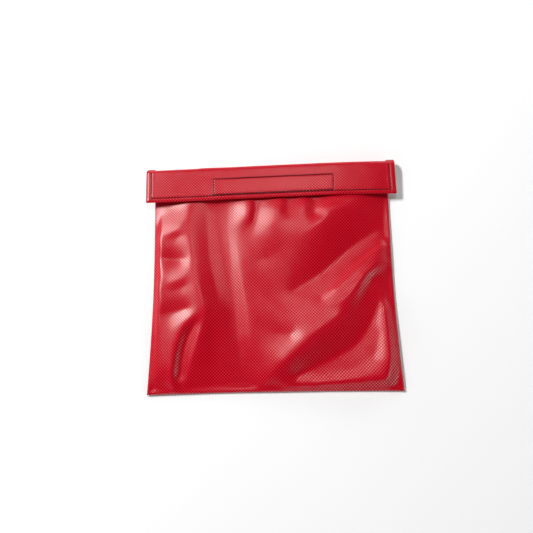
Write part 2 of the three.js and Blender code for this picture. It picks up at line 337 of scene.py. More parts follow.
def front_point(u, v):
    """The front's outer surface: its relief, rolled down into the seam at the sides and bottom."""
    edge = np.minimum(BODY_HALF - np.abs(u), v - BODY_END)
    roll = np.clip(edge / EDGE_ROLL, 0, 1)
    share = np.sqrt(np.maximum(1 - (1 - roll) ** 2, 0))
    lift = seam_lift(u, v) * (1 - smooth(edge / (22 * MM)))
    x, y = bowed(u, v)
    height = front_relief(u, v)
    return np.stack([x, y, SEAM_HEIGHT + (height - SEAM_HEIGHT) * share + lift], -1)


def back_point(u, v):
    """The back's outer surface: on the table, and rolled up into the seam."""
    edge = np.minimum(BODY_HALF - np.abs(u), v - BODY_END)
    free = smooth((MOUTH - v) / (12 * MM))
    roll = np.clip(edge / BACK_ROLL, 0, 1)
    share = 1 - np.sqrt(np.maximum(1 - (1 - roll) ** 2, 0))
    lift = seam_lift(u, v) * (1 - smooth(edge / (22 * MM)))
    x, y = bowed(u, v)
    x = x * (1 + smooth((v - MOUTH + SHOULDER) / SHOULDER) * (FLAP_HALF / BODY_HALF - 1))
    return np.stack([x, y, (SEAM_HEIGHT * share + lift) * free], -1)


def fold_line(x):
    """The fold isn't quite straight: it steps out where the flap passes the left ridge."""
    step = smooth((x + 78 * MM) / (8 * MM)) - smooth((x + 62 * MM) / (30 * MM))
    return (-0.5 * smooth(np.abs(x) / FLAP_HALF) + 0.45 * step) * MM


def draped(x, y, z):
    """Where a point of the level flap or fold lies on the pouch: the share grows up the fold."""
    share = np.clip(z / FLAP_TOP, 0, 1)
    rise = flap_relief(x, np.minimum(y, FOLD_FACE - FOLD_RADIUS))
    return np.stack([x, y + fold_line(x) * smooth((y - 0.095) / 0.02), z + rise * share], -1)


def groove(distance, width=0.9 * MM):
    return np.exp(-((distance / width) ** 2))


def pucker(run, pitch):
    """A stitch line pulls the cloth down a little more at each needle hole."""
    return 0.75 + 0.25 * np.cos(2 * math.pi * run / pitch)


def box_distance(x, y, low, high):
    """Distance to a rectangle's outline."""
    centre_x = (low[0] + high[0]) / 2
    centre_y = (low[1] + high[1]) / 2
    dx = np.abs(x - centre_x) - (high[0] - low[0]) / 2
    dy = np.abs(y - centre_y) - (high[1] - low[1]) / 2
    outside = np.hypot(np.maximum(dx, 0), np.maximum(dy, 0))
    return np.abs(outside + np.minimum(np.maximum(dx, dy), 0))


def tape_outline(low, high, inset):
    return (low.x + inset, low.y + inset), (high.x - inset, high.y - inset)


def flap_detail(x, y, pitch):
    """Stitch grooves, the puffed hems and the tape's edge, as height over the draped flap."""
    from_side = FLAP_HALF - np.abs(x)
    from_edge = y - FLAP_EDGE
    tape = box_distance(x, y, *tape_outline(HOOK_LOW, HOOK_HIGH, TAPE_STITCH_INSET))
    detail = -0.34 * MM * groove(tape) * pucker(x + y, pitch)
    inside = from_side > SIDE_HEM_STITCH
    lower = groove(from_edge - LOWER_HEM_STITCH) * inside * pucker(x, pitch)
    side = groove(from_side - SIDE_HEM_STITCH) * (from_edge > LOWER_HEM_STITCH) * pucker(y, pitch)
    detail -= 0.3 * MM * np.maximum(lower, side)
    puff_lower = np.sin(math.pi * np.clip((from_edge - LIP) / (LOWER_HEM_STITCH - LIP), 0, 1)) ** 2
    puff_side = np.sin(math.pi * np.clip((from_side - LIP) / (SIDE_HEM_STITCH - LIP), 0, 1)) ** 2
    detail += 0.35 * MM * puff_lower * smooth(from_side / (3 * MM))
    detail += 0.25 * MM * puff_side * smooth(from_edge / (3 * MM))
    detail += 0.12 * MM * smooth((SIDE_HEM + 0.6 * MM - from_side) / (1.2 * MM))
    detail += 0.12 * MM * smooth((SIDE_HEM + 0.6 * MM - from_edge) / (1.2 * MM))
    return detail * smooth((from_edge + 0.2 * MM - LIP) / (0.6 * MM) + 0.2) * (y < FOLD_FACE - 1.4 * MM)


# Meshes
def spread(low, high, step, fine_low=0.0, fine_high=0.0):
    """Samples from low to high, closer together over the given widths at either end."""
    close = np.array([0, 0.08, 0.22, 0.42, 0.68])
    middle = np.linspace(low + fine_low, high - fine_high, max(2, round((high - low) / step)))
    parts = [middle]
    if fine_low:
        parts.insert(0, low + close * fine_low)
    if fine_high:
        parts.append((high - close * fine_high)[::-1])
    return np.concatenate(parts)


def surface_normals(points):
    along = np.gradient(points, axis=0)
    across = np.gradient(points, axis=1)
    normal = np.cross(across, along)
    return normal / np.maximum(np.linalg.norm(normal, axis=-1, keepdims=True), 1e-12)


def cloth_mesh(name, points, flat, thickness=PLY, flip=False, crease=None):
    """A ply of cloth from a grid of points on its outer side, with the ply's thickness behind them.

    flat holds each point's place in the flat cut, in metres, which becomes the mesh's UV map.
    """
    rows, columns = points.shape[:2]
    normal = surface_normals(points) * (-1 if flip else 1)
    inner = points - normal * thickness
    vertices = np.concatenate([points.reshape(-1, 3), inner.reshape(-1, 3)])
    count = rows * columns
    index = np.arange(count).reshape(rows, columns)
    outer = np.stack([index[:-1, :-1], index[:-1, 1:], index[1:, 1:], index[1:, :-1]], -1).reshape(-1, 4)
    ring = np.concatenate([index[0, :-1], index[:-1, -1], index[-1, :0:-1], index[:0:-1, 0]])
    after = np.roll(ring, -1)
    rim = np.stack([ring, ring + count, after + count, after], -1)
    faces = np.concatenate([outer, outer[:, ::-1] + count, rim])
    if flip:
        faces = faces[:, ::-1]
    mesh = bpy.data.meshes.new(name)
    mesh.from_pydata(vertices.tolist(), [], faces.tolist())
    corner = np.zeros(len(mesh.loops), np.int32)
    mesh.loops.foreach_get("vertex_index", corner)
    place = np.concatenate([flat.reshape(-1, 2), flat.reshape(-1, 2)])
    layer = mesh.uv_layers.new(name="flat_cut")
    layer.data.foreach_set("uv", place[corner].astype(np.float32).ravel())
    worn = np.zeros(count) if crease is None else crease.reshape(-1)
    attribute = mesh.attributes.new("crease", "FLOAT", "POINT")
    attribute.data.foreach_set("value", np.tile(worn, 2).astype(np.float32))
    mesh.polygons.foreach_set("use_smooth", np.ones(len(mesh.polygons), bool))
    mesh.set_sharp_from_angle(angle=math.radians(50))
    return mesh


def piece(name, mesh, material):
    mesh.materials.clear()
    mesh.materials.append(material)
    obj = bpy.data.objects.new(name, mesh)
    bpy.context.scene.collection.objects.link(obj)
    return obj


def joined(name, meshes, material):
    """Several meshes as one piece."""
    objects = [piece(f"{name}_{i}", mesh, material) for i, mesh in enumerate(meshes)]
    with bpy.context.temp_override(active_object=objects[0], selected_editable_objects=objects):
        bpy.ops.object.join()
    objects[0].name = name
    objects[0].data.name = name
    return objects[0]


def section_mesh(section, runs, place):
    """A strip of cloth: a section's (depth, level) points carried along runs by the place function."""
    depth = np.array([point[0] for point in section])
    level = np.array([point[1] for point in section])
    grid_run, grid_depth = np.meshgrid(runs, depth, indexing="ij")
    grid_level = np.broadcast_to(level, grid_run.shape)
    points = place(grid_run, grid_depth, grid_level)
    length = np.concatenate([[0], np.cumsum(np.hypot(np.diff(depth), np.diff(level)))])
    flat = np.stack([grid_run, np.broadcast_to(length, grid_run.shape)], -1)
    return points, flat


def turned_edge(width, radius):
    """Section of a hem: round the edge, then back under the cloth, as (depth, level below the top)."""
    turn = [(radius - radius * math.sin(a), radius * math.cos(a) - radius)
            for a in np.linspace(0, math.pi, 9)]
    under = [(depth, -2 * radius) for depth in np.linspace(radius, width, 7)[1:]]
    return turn + under


# Node trees
def add(tree, kind, inputs=None, **settings):
    """A node with its settings, and inputs given as values or as sockets to link."""
    node = tree.nodes.new(kind)
    for name, value in settings.items():
        setattr(node, name, value)
    for key, value in (inputs or {}).items():
        if isinstance(value, bpy.types.NodeSocket):
            tree.links.new(value, node.inputs[key])
        else:
            node.inputs[key].default_value = value
    return node


def maths(tree, operation, *values):
    return add(tree, "ShaderNodeMath", dict(enumerate(values)), operation=operation).outputs[0]


def new_group(name, kind, inputs, outputs):
    tree = bpy.data.node_groups.new(name, kind)
    for socket, socket_kind, default in inputs:
        item = tree.interface.new_socket(socket, in_out="INPUT", socket_type=socket_kind)
        if default is not None:
            item.default_value = default
    for socket, socket_kind in outputs:
        tree.interface.new_socket(socket, in_out="OUTPUT", socket_type=socket_kind)
    return tree, tree.nodes.new("NodeGroupInput"), tree.nodes.new("NodeGroupOutput")


def weave_group():
    """Plain weave showing through the coating: rounded bumps on both diagonals of the cloth."""
    tree, given, out = new_group(
        "cloth_weave",
        "ShaderNodeTree",
        [("Place", "NodeSocketVector", None), ("Pitch", "NodeSocketFloat", 2.0 * MM),
         ("Unevenness", "NodeSocketFloat", 0.35)],
        [("Height", "NodeSocketFloat")],
    )
    turns = maths(tree, "DIVIDE", math.sqrt(2) * math.pi, given.outputs["Pitch"])
    split = add(tree, "ShaderNodeSeparateXYZ", {0: given.outputs["Place"]})
    plus = maths(tree, "ADD", split.outputs[0], split.outputs[1])
    minus = maths(tree, "SUBTRACT", split.outputs[0], split.outputs[1])
    waves = [maths(tree, "COSINE", maths(tree, "MULTIPLY", run, turns)) for run in (plus, minus)]
    both = maths(tree, "MULTIPLY_ADD", maths(tree, "ADD", *waves), 0.25, 0.5)
    uneven = add(tree, "ShaderNodeTexNoise", {"Vector": given.outputs["Place"], "Scale": 90.0, "Detail": 2.0})
    share = maths(tree, "MULTIPLY_ADD", uneven.outputs[0], given.outputs["Unevenness"], 0.82)
    tree.links.new(maths(tree, "MULTIPLY", both, share), out.inputs["Height"])
    return tree


def tone_group():
    """Broad and fine unevenness, as colour and gloss vary over one piece of cloth, tape or thread."""
    tree, given, out = new_group(
        "uneven_tone",
        "ShaderNodeTree",
        [("Place", "NodeSocketVector", None), ("Broad", "NodeSocketFloat", 18.0),
         ("Fine", "NodeSocketFloat", 260.0)],
        [("Broad", "NodeSocketFloat"), ("Fine", "NodeSocketFloat")],
    )
    for name, detail in (("Broad", 3.0), ("Fine", 2.0)):
        noise = add(tree, "ShaderNodeTexNoise",
                    {"Vector": given.outputs["Place"], "Scale": given.outputs[name], "Detail": detail})
        tree.links.new(noise.outputs[0], out.inputs[name])
    return tree


def placed_group(tree, group, inputs):
    node = tree.nodes.new("ShaderNodeGroup")
    node.node_tree = group
    for key, value in inputs.items():
        if isinstance(value, bpy.types.NodeSocket):
            tree.links.new(value, node.inputs[key])
        else:
            node.inputs[key].default_value = value
    return node


def blank_material(name):
    material = bpy.data.materials.new(name)
    material.use_nodes = True
    tree = material.node_tree
    tree.nodes.clear()
    shader = tree.nodes.new("ShaderNodeBsdfPrincipled")
    out = tree.nodes.new("ShaderNodeOutputMaterial")
    tree.links.new(shader.outputs[0], out.inputs["Surface"])
    return material, tree, shader


def ramp(tree, value, low, high):
    """A value from 0 to 1 spread from low to high."""
    return add(tree, "ShaderNodeMapRange", {"Value": value, "To Min": low, "To Max": high}).outputs[0]


def colour_mix(tree, share, first, second):
    node = add(tree, "ShaderNodeMix", data_type="RGBA")
    for index, value in ((0, share), (6, first), (7, second)):
        if isinstance(value, bpy.types.NodeSocket):
            tree.links.new(value, node.inputs[index])
        else:
            node.inputs[index].default_value = value
    return node.outputs[2]


def opaque(colour, factor=1.0):
    return (colour[0] * factor, colour[1] * factor, colour[2] * factor, 1)


def vinyl_material(cloth, weave, tone):
    """Red coated cloth: glossy, with the weave under the coating and painted shade in the weave's hollows,
    and paler where it has creased.
    """
    material, tree, shader = blank_material("coated_vinyl")
    flat = add(tree, "ShaderNodeUVMap", uv_map="flat_cut").outputs[0]
    creased = add(tree, "ShaderNodeAttribute", attribute_name="crease").outputs["Fac"]
    place = add(tree, "ShaderNodeTexCoord").outputs["Object"]
    uneven = placed_group(tree, tone, {"Place": place, "Broad": 14.0, "Fine": 420.0})
    threads = placed_group(tree, weave, {"Place": flat, "Pitch": cloth.weave_pitch})
    shade = colour_mix(tree, ramp(tree, uneven.outputs["Broad"], 0.0, 1.0),
                       opaque(cloth.colour, 0.92), opaque(cloth.colour, 1.08))
    # painted shade: the weave's hollows take a darker red, standing in for the shade between the bumps
    weave_shaded = colour_mix(tree, threads.outputs["Height"], opaque(cloth.hollow_shade_colour), shade)
    tinted = colour_mix(tree, ramp(tree, creased, 0.0, 0.35), weave_shaded, opaque(cloth.worn_colour))
    tree.links.new(tinted, shader.inputs["Base Color"])
    crest = add(tree, "ShaderNodeMapRange", {"Value": threads.outputs["Height"], "From Min": 0.35,
                                            "From Max": 0.9, "To Min": 0.03, "To Max": 1.0})
    gloss_share = maths(tree, "MULTIPLY", crest.outputs[0], cloth.sheen)
    tree.links.new(gloss_share, shader.inputs["Specular IOR Level"])
    tree.links.new(maths(tree, "MULTIPLY", crest.outputs[0], cloth.film), shader.inputs["Coat Weight"])
    shader.inputs["Specular Tint"].default_value = (1, 0.78, 0.98, 1)
    for name, gloss in (("Roughness", cloth.roughness), ("Coat Roughness", cloth.film_roughness)):
        rough = ramp(tree, uneven.outputs["Broad"], gloss * 0.98, gloss * 1.12)
        tree.links.new(rough, shader.inputs[name])
    grain = add(tree, "ShaderNodeBump", {"Strength": 1.0, "Distance": cloth.grain_depth,
                                        "Height": uneven.outputs["Fine"]})
    bump = add(tree, "ShaderNodeBump", {"Strength": 1.0, "Distance": cloth.weave_depth,
                                       "Height": threads.outputs["Height"],
                                       "Normal": grain.outputs[0]})
    for name in ("Normal", "Coat Normal"):
        tree.links.new(bump.outputs[0], shader.inputs[name])
    shader.inputs["IOR"].default_value = 1.5
    shader.inputs["Coat IOR"].default_value = 1.8
    return material


def tape_material(tape, tone):
    """Woven nylon backing: close ribs along the tape, and a dull sheen."""
    material, tree, shader = blank_material("woven_tape")
    flat = add(tree, "ShaderNodeUVMap", uv_map="flat_cut").outputs[0]
    place = add(tree, "ShaderNodeTexCoord").outputs["Object"]
    uneven = placed_group(tree, tone, {"Place": place, "Broad": 60.0, "Fine": 900.0})
    ribs = add(tree, "ShaderNodeTexWave", {"Vector": flat, "Scale": 1 / (tape.rib_pitch * 2 * math.pi) * 6.28,
                                           "Distortion": 0.4, "Detail": 1.0}, bands_direction="Y")
    shade = colour_mix(tree, ramp(tree, uneven.outputs["Fine"], 0.0, 1.0),
                       opaque(tape.colour, 0.6), opaque(tape.colour, 1.5))
    tree.links.new(shade, shader.inputs["Base Color"])
    tree.links.new(ramp(tree, uneven.outputs["Broad"], 0.62, 0.82), shader.inputs["Roughness"])
    bump = add(tree, "ShaderNodeBump",
               {"Strength": 0.8, "Distance": 0.12 * MM, "Height": ribs.outputs["Fac"]})
    tree.links.new(bump.outputs[0], shader.inputs["Normal"])
    shader.inputs["Sheen Weight"].default_value = 0.25
    return material


def thread_material(name, colour, tone, roughness):
    """Twisted or bonded nylon thread."""
    material, tree, shader = blank_material(name)
    place = add(tree, "ShaderNodeTexCoord").outputs["Object"]
    uneven = placed_group(tree, tone, {"Place": place, "Broad": 120.0, "Fine": 2600.0})
    shade = colour_mix(tree, ramp(tree, uneven.outputs["Broad"], 0.0, 1.0),
                       opaque(colour, 0.6), opaque(colour, 1.6))
    tree.links.new(shade, shader.inputs["Base Color"])
    tree.links.new(ramp(tree, uneven.outputs["Fine"], roughness - 0.1, roughness + 0.1),
                   shader.inputs["Roughness"])
    bump = add(tree, "ShaderNodeBump", {"Strength": 0.6, "Distance": 0.08 * MM,
                                       "Height": uneven.outputs["Fine"]})
    tree.links.new(bump.outputs[0], shader.inputs["Normal"])
    shader.inputs["Specular IOR Level"].default_value = 0.2
    return material


def floor_material(tone):
    material, tree, shader = blank_material("pale_table")
    place = add(tree, "ShaderNodeTexCoord").outputs["Object"]
    uneven = placed_group(tree, tone, {"Place": place, "Broad": 3.0, "Fine": 40.0})
    shade = colour_mix(tree, uneven.outputs["Broad"], (0.86, 0.86, 0.86, 1), (0.9, 0.9, 0.9, 1))
    tree.links.new(shade, shader.inputs["Base Color"])
    shader.inputs["Roughness"].default_value = 0.9
    shader.inputs["Specular IOR Level"].default_value = 0.1
    return material


def stitch_tree():
    """A row of stitches along an edge run: one sunk, arched thread to each pitch."""
    tree, given, out = new_group(
        "stitch_row",
        "GeometryNodeTree",
        [("Run", "NodeSocketGeometry", None), ("Pitch", "NodeSocketFloat", 3.5 * MM),
         ("Thread", "NodeSocketFloat", 0.45 * MM), ("Arch", "NodeSocketFloat", 0.3 * MM),
         ("Seed", "NodeSocketInt", 1), ("Material", "NodeSocketMaterial", None)],
        [("Stitches", "NodeSocketGeometry")],
    )
    pitch = given.outputs["Pitch"]
    run = add(tree, "GeometryNodeMeshToCurve", {"Mesh": given.outputs["Run"]})
    holes = add(tree, "GeometryNodeResampleCurve", {"Curve": run.outputs[0], "Length": pitch}, mode="LENGTH")
    reach = maths(tree, "MULTIPLY", pitch, 0.47)
    back = maths(tree, "MULTIPLY", reach, -1.0)
    sink = maths(tree, "MULTIPLY", given.outputs["Thread"], -0.8)
    points = [add(tree, "ShaderNodeCombineXYZ", {0: x, 2: z}).outputs[0]
              for x, z in ((back, sink), (0.0, given.outputs["Arch"]), (reach, sink))]
    arch = add(tree, "GeometryNodeCurveQuadraticBezier",
               {"Resolution": 5, "Start": points[0], "Middle": points[1], "End": points[2]})
    ring = add(tree, "GeometryNodeCurvePrimitiveCircle",
               {"Resolution": 6, "Radius": maths(tree, "MULTIPLY", given.outputs["Thread"], 0.5)})
    stitch = add(tree, "GeometryNodeCurveToMesh",
                 {"Curve": arch.outputs[0], "Profile Curve": ring.outputs[0], "Fill Caps": True})
    tangent = add(tree, "GeometryNodeInputTangent")
    turn = add(tree, "FunctionNodeAlignRotationToVector", {"Vector": tangent.outputs[0]}, axis="X")
    lean = add(tree, "FunctionNodeRandomValue", {"Seed": given.outputs["Seed"]}, data_type="FLOAT_VECTOR")
    lean.inputs[0].default_value = (-0.05, -0.06, -0.07)
    lean.inputs[1].default_value = (0.05, 0.06, 0.07)
    lean_turn = add(tree, "FunctionNodeEulerToRotation", {0: lean.outputs[0]})
    both = add(tree, "FunctionNodeRotateRotation", {0: turn.outputs[0], 1: lean_turn.outputs[0]},
               rotation_space="LOCAL")
    rows = add(tree, "GeometryNodeInstanceOnPoints",
               {"Points": holes.outputs[0], "Instance": stitch.outputs[0], "Rotation": both.outputs[0]})
    real = add(tree, "GeometryNodeRealizeInstances", {0: rows.outputs[0]})
    soft = add(tree, "GeometryNodeSetShadeSmooth", {"Geometry": real.outputs[0]})
    dressed = add(tree, "GeometryNodeSetMaterial",
                  {"Geometry": soft.outputs[0], "Material": given.outputs["Material"]})
    tree.links.new(dressed.outputs[0], out.inputs[0])
    return tree


def pile_tree():
    """The working face of a tape: hooks or loops of fine filament, in rows with a little disorder."""
    tree, given, out = new_group(
        "tape_pile",
        "GeometryNodeTree",
        [("Geometry", "NodeSocketGeometry", None), ("Length", "NodeSocketFloat", 0.12),
         ("Width", "NodeSocketFloat", 0.015), ("Columns", "NodeSocketInt", 60), ("Rows", "NodeSocketInt", 9),
         ("Height", "NodeSocketFloat", 0.8 * MM), ("Open", "NodeSocketFloat", 0.0),
         ("Filament", "NodeSocketFloat", 0.16 * MM), ("Disorder", "NodeSocketFloat", 0.5),
         ("Seed", "NodeSocketInt", 1), ("Material", "NodeSocketMaterial", None)],
        [("Pile", "NodeSocketGeometry")],
    )
    grid = add(tree, "GeometryNodeMeshGrid",
               {"Size X": given.outputs["Length"], "Size Y": given.outputs["Width"],
                "Vertices X": given.outputs["Columns"], "Vertices Y": given.outputs["Rows"]})
    reach = maths(tree, "MULTIPLY", given.outputs["Disorder"], 0.5 * MM)
    back = maths(tree, "MULTIPLY", reach, -1.0)
    low = add(tree, "ShaderNodeCombineXYZ", {0: back, 1: back})
    high = add(tree, "ShaderNodeCombineXYZ", {0: reach, 1: reach})
    jitter = add(tree, "FunctionNodeRandomValue",
                 {0: low.outputs[0], 1: high.outputs[0], "Seed": given.outputs["Seed"]},
                 data_type="FLOAT_VECTOR")
    moved = add(tree, "GeometryNodeSetPosition", {"Geometry": grid.outputs[0], "Offset": jitter.outputs[0]})
    height = given.outputs["Height"]
    start = add(tree, "ShaderNodeCombineXYZ", {0: maths(tree, "MULTIPLY", height, -0.35)})
    rise = add(tree, "ShaderNodeCombineXYZ", {0: maths(tree, "MULTIPLY", height, -0.5),
                                              2: maths(tree, "MULTIPLY", height, 1.3)})
    bend = add(tree, "ShaderNodeCombineXYZ", {0: maths(tree, "MULTIPLY", height, 0.6),
                                              2: maths(tree, "MULTIPLY", height, 1.3)})
    tip = add(tree, "ShaderNodeCombineXYZ", {0: maths(tree, "MULTIPLY", height, 0.35),
                                             2: maths(tree, "MULTIPLY", height, given.outputs["Open"])})
    crook = add(tree, "GeometryNodeCurvePrimitiveBezierSegment",
                {"Resolution": 7, "Start": start.outputs[0], "Start Handle": rise.outputs[0],
                 "End Handle": bend.outputs[0], "End": tip.outputs[0]})
    ring = add(tree, "GeometryNodeCurvePrimitiveCircle",
               {"Resolution": 4, "Radius": maths(tree, "MULTIPLY", given.outputs["Filament"], 0.5)})
    filament = add(tree, "GeometryNodeCurveToMesh",
                   {"Curve": crook.outputs[0], "Profile Curve": ring.outputs[0], "Fill Caps": True})
    swing = maths(tree, "MULTIPLY", given.outputs["Disorder"], math.pi)
    turn = add(tree, "FunctionNodeRandomValue",
               {2: maths(tree, "MULTIPLY", swing, -1.0), 3: swing, "Seed": given.outputs["Seed"]},
               data_type="FLOAT")
    about = add(tree, "ShaderNodeCombineXYZ", {2: turn.outputs[1]})
    rotation = add(tree, "FunctionNodeEulerToRotation", {0: about.outputs[0]})
    many = add(tree, "GeometryNodeInstanceOnPoints",
               {"Points": moved.outputs[0], "Instance": filament.outputs[0], "Rotation": rotation.outputs[0]})
    real = add(tree, "GeometryNodeRealizeInstances", {0: many.outputs[0]})
    dressed = add(tree, "GeometryNodeSetMaterial",
                  {"Geometry": real.outputs[0], "Material": given.outputs["Material"]})
    tree.links.new(dressed.outputs[0], out.inputs[0])
    return tree


def grown(name, mesh, tree, values):
    """The plain mesh that a geometry tree makes of a mesh, with the tree's inputs set by name."""
    source = bpy.data.objects.new(name + "_source", mesh)
    bpy.context.scene.collection.objects.link(source)
    modifier = source.modifiers.new("grow", "NODES")
    modifier.node_group = tree
    for item in tree.interface.items_tree:
        if item.in_out == "INPUT" and item.name in values:
            modifier[item.identifier] = values[item.name]
    bpy.context.view_layer.update()
    evaluated = source.evaluated_get(bpy.context.evaluated_depsgraph_get())
    result = bpy.data.meshes.new_from_object(evaluated)
    bpy.data.objects.remove(source)
    result.name = name
    return result


# Settings a maker would change
class PouchCloth(bpy.types.PropertyGroup):
    colour: FloatVectorProperty(name="Vinyl colour", description="Colour of the coating",
                                default=(0.45, 0.0004, 0.011), subtype="COLOR", min=0, max=1)
    worn_colour: FloatVectorProperty(name="Creased colour", description="Coating where creased or rubbed",
                                     default=(0.52, 0.004, 0.022), subtype="COLOR", min=0, max=1)
    # painted shade: a darker red for the weave's hollows, standing in for the shade between the bumps
    hollow_shade_colour: FloatVectorProperty(name="Hollow colour", description="Coating between the threads",
                                       default=(0.42, 0.0003, 0.009), subtype="COLOR", min=0, max=1)
    roughness: FloatProperty(name="Roughness", description="Gloss of the coating", default=0.40, min=0, max=1)
    sheen: FloatProperty(name="Sheen", description="Soft reflection of the coating",
                         default=0.1, min=0, max=1)
    film: FloatProperty(name="Film", description="Share of the shiny film on the coating",
                        default=1.0, min=0, max=1)
    film_roughness: FloatProperty(name="Film roughness", description="Gloss of the film",
                                  default=0.29, min=0, max=1)
    weave_pitch: FloatProperty(name="Weave pitch", description="Between two bumps on a diagonal",
                               default=2.2 * MM, unit="LENGTH")
    weave_depth: FloatProperty(name="Weave depth", description="From hollow to bump of the weave",
                               default=0.1 * MM, unit="LENGTH")
    grain_depth: FloatProperty(name="Grain depth", description="Fine unevenness of the coating",
                               default=0.02 * MM, unit="LENGTH")


class PouchTape(bpy.types.PropertyGroup):
    colour: FloatVectorProperty(name="Tape colour", description="Hook and loop tape", subtype="COLOR",
                                default=(0.012, 0.012, 0.014), min=0, max=1)
    rib_pitch: FloatProperty(name="Rib pitch", description="Between the tape's woven ribs",
                             default=0.8 * MM, unit="LENGTH")
    backing: FloatProperty(name="Backing", description="Thickness of the woven backing",
                           default=0.5 * MM, unit="LENGTH")
    selvedge: FloatProperty(name="Selvedge", description="Bare edge on each side of the pile",
                            default=2.4 * MM, unit="LENGTH")


class PouchThread(bpy.types.PropertyGroup):
    colour: FloatVectorProperty(name="Thread colour", description="Thread of hems and tapes",
                                subtype="COLOR", default=(0.012, 0.004, 0.006), min=0, max=1)
    seam_colour: FloatVectorProperty(name="Seam thread colour", description="Thread inside the body",
                                     subtype="COLOR", default=(0.22, 0.006, 0.014), min=0, max=1)
    pitch: FloatProperty(name="Stitch length", description="From needle hole to needle hole",
                         default=3.5 * MM, unit="LENGTH")
    size: FloatProperty(name="Thread size", description="Thickness of the sewn thread",
                        default=0.9 * MM, unit="LENGTH")
    seed: IntProperty(name="Seed", description="Which small irregularities the rows have", default=4)


class PouchStage(bpy.types.PropertyGroup):
    lens: FloatProperty(name="Lens", description="Camera lens in millimetres", default=35, min=10)
    distance: FloatProperty(name="Camera distance", description="From the pouch to the camera",
                            default=0.533, unit="LENGTH")
    key_power: FloatProperty(name="Key light", description="Power of the key light", default=52, min=0)
    key_length: FloatProperty(name="Key length", description="Long side of the key light",
                              default=0.62, unit="LENGTH")
    key_width: FloatProperty(name="Key width", description="Short side of the key light",
                             default=0.3, unit="LENGTH")
    top_power: FloatProperty(name="Top light", description="Power of the small light above the flap",
                             default=1.5, min=0)
    fill_power: FloatProperty(name="Fill lights", description="Power of each low fill", default=5, min=0)
    wall: FloatProperty(name="Wall", description="Brightness of the wall at the horizon", default=0.9)
    room: FloatProperty(name="Room light", description="Strength of the room's own light", default=0.02)


def materials():
    """Each material once, by name. The frame has materials called black_thread and red_thread."""
    scene = bpy.context.scene
    if "coated_vinyl" not in bpy.data.materials:
        tone = tone_group()
        vinyl_material(scene.pouch_cloth, weave_group(), tone)
        tape_material(scene.pouch_tape, tone)
        thread_material("sewn_black_thread", scene.pouch_thread.colour, tone, 0.75)
        thread_material("sewn_red_thread", scene.pouch_thread.seam_colour, tone, 0.5)
        thread_material("nylon_filament", scene.pouch_tape.colour, tone, 0.4)
        floor_material(tone)
    return bpy.data.materials


# Operators
def aim(light, position, roll):
    """Face a light at the pouch, rolled about its own axis."""
    turn = (-Vector(position)).to_track_quat("-Z", "Y").to_matrix().to_4x4()
    light.matrix_world = Matrix.Translation(position) @ turn @ Matrix.Rotation(roll, 4, "Z")


class POUCH_OT_stage(bpy.types.Operator):
    """Camera, table and studio lights"""

    bl_idname = "pouch.stage"
    bl_label = "Stage"

    PITCH, YAW, ROLL = (math.radians(a) for a in (13.48, 3.79, -1.89))
    AIM = Vector((-0.005, 0.0091, 0))

    def camera(self, stage):
        scene = bpy.context.scene
        data = bpy.data.cameras.new("camera")
        data.lens = stage.lens
        data.sensor_width = 36
        data.clip_start = 0.01
        camera = bpy.data.objects.new("camera", data)
        scene.collection.objects.link(camera)
        turn = (Matrix.Rotation(self.PITCH, 3, "X") @ Matrix.Rotation(self.YAW, 3, "Y")
                @ Matrix.Rotation(self.ROLL, 3, "Z"))
        place = self.AIM + turn @ Vector((0, 0, stage.distance))
        camera.matrix_world = Matrix.Translation(place) @ turn.to_4x4()
        scene.camera = camera

    def light(self, name, position, power, width, height, roll=0):
        data = bpy.data.lights.new(name, "AREA")
        data.shape = "RECTANGLE"
        data.size = width
        data.size_y = height
        data.energy = power
        light = bpy.data.objects.new(name, data)
        bpy.context.scene.collection.objects.link(light)
        aim(light, position, math.radians(roll))

    def room(self, stage):
        """A dim room with a pale band of wall at the horizon."""
        world = bpy.data.worlds.new("studio")
        world.use_nodes = True
        tree = world.node_tree
        direction = add(tree, "ShaderNodeTexCoord").outputs["Generated"]
        height = add(tree, "ShaderNodeSeparateXYZ", {0: direction}).outputs[2]
        wall = add(tree, "ShaderNodeMapRange", {"Value": height, "From Min": 0.2, "From Max": 0.45,
                                               "To Min": stage.wall, "To Max": stage.room},
                   interpolation_type="SMOOTHSTEP")
        tree.links.new(wall.outputs[0], tree.nodes["Background"].inputs["Strength"])
        tree.nodes["Background"].inputs["Color"].default_value = (1, 1, 1, 1)
        return world

    def execute(self, context):
        stage = context.scene.pouch_stage
        self.camera(stage)
        self.light("key_light", (-1.29, 0.90, 1.50), stage.key_power, stage.key_length, stage.key_width, 27)
        self.light("top_light", (0.03, 0.40, 0.92), stage.top_power, 0.16, 0.10)
        self.light("right_fill", (1.2, -0.75, 0.45), stage.fill_power, 1.2, 0.3)
        self.light("low_fill", (-0.75, -1.2, 0.45), stage.fill_power, 1.2, 0.3)
        self.light("far_fill", (0.9, 1.1, 0.45), stage.fill_power, 1.2, 0.3)
        context.scene.world = self.room(stage)
        context.scene.view_settings.view_transform = "Standard"
        reach = 0.75
        mesh = bpy.data.meshes.new("table")
        corners = [(-reach, -reach), (reach, -reach), (reach, reach), (-reach, reach)]
        mesh.from_pydata([(x, y, -0.2 * MM) for x, y in corners], [], [(0, 1, 2, 3)])
        piece("table", mesh, materials()["pale_table"])
        return {"FINISHED"}


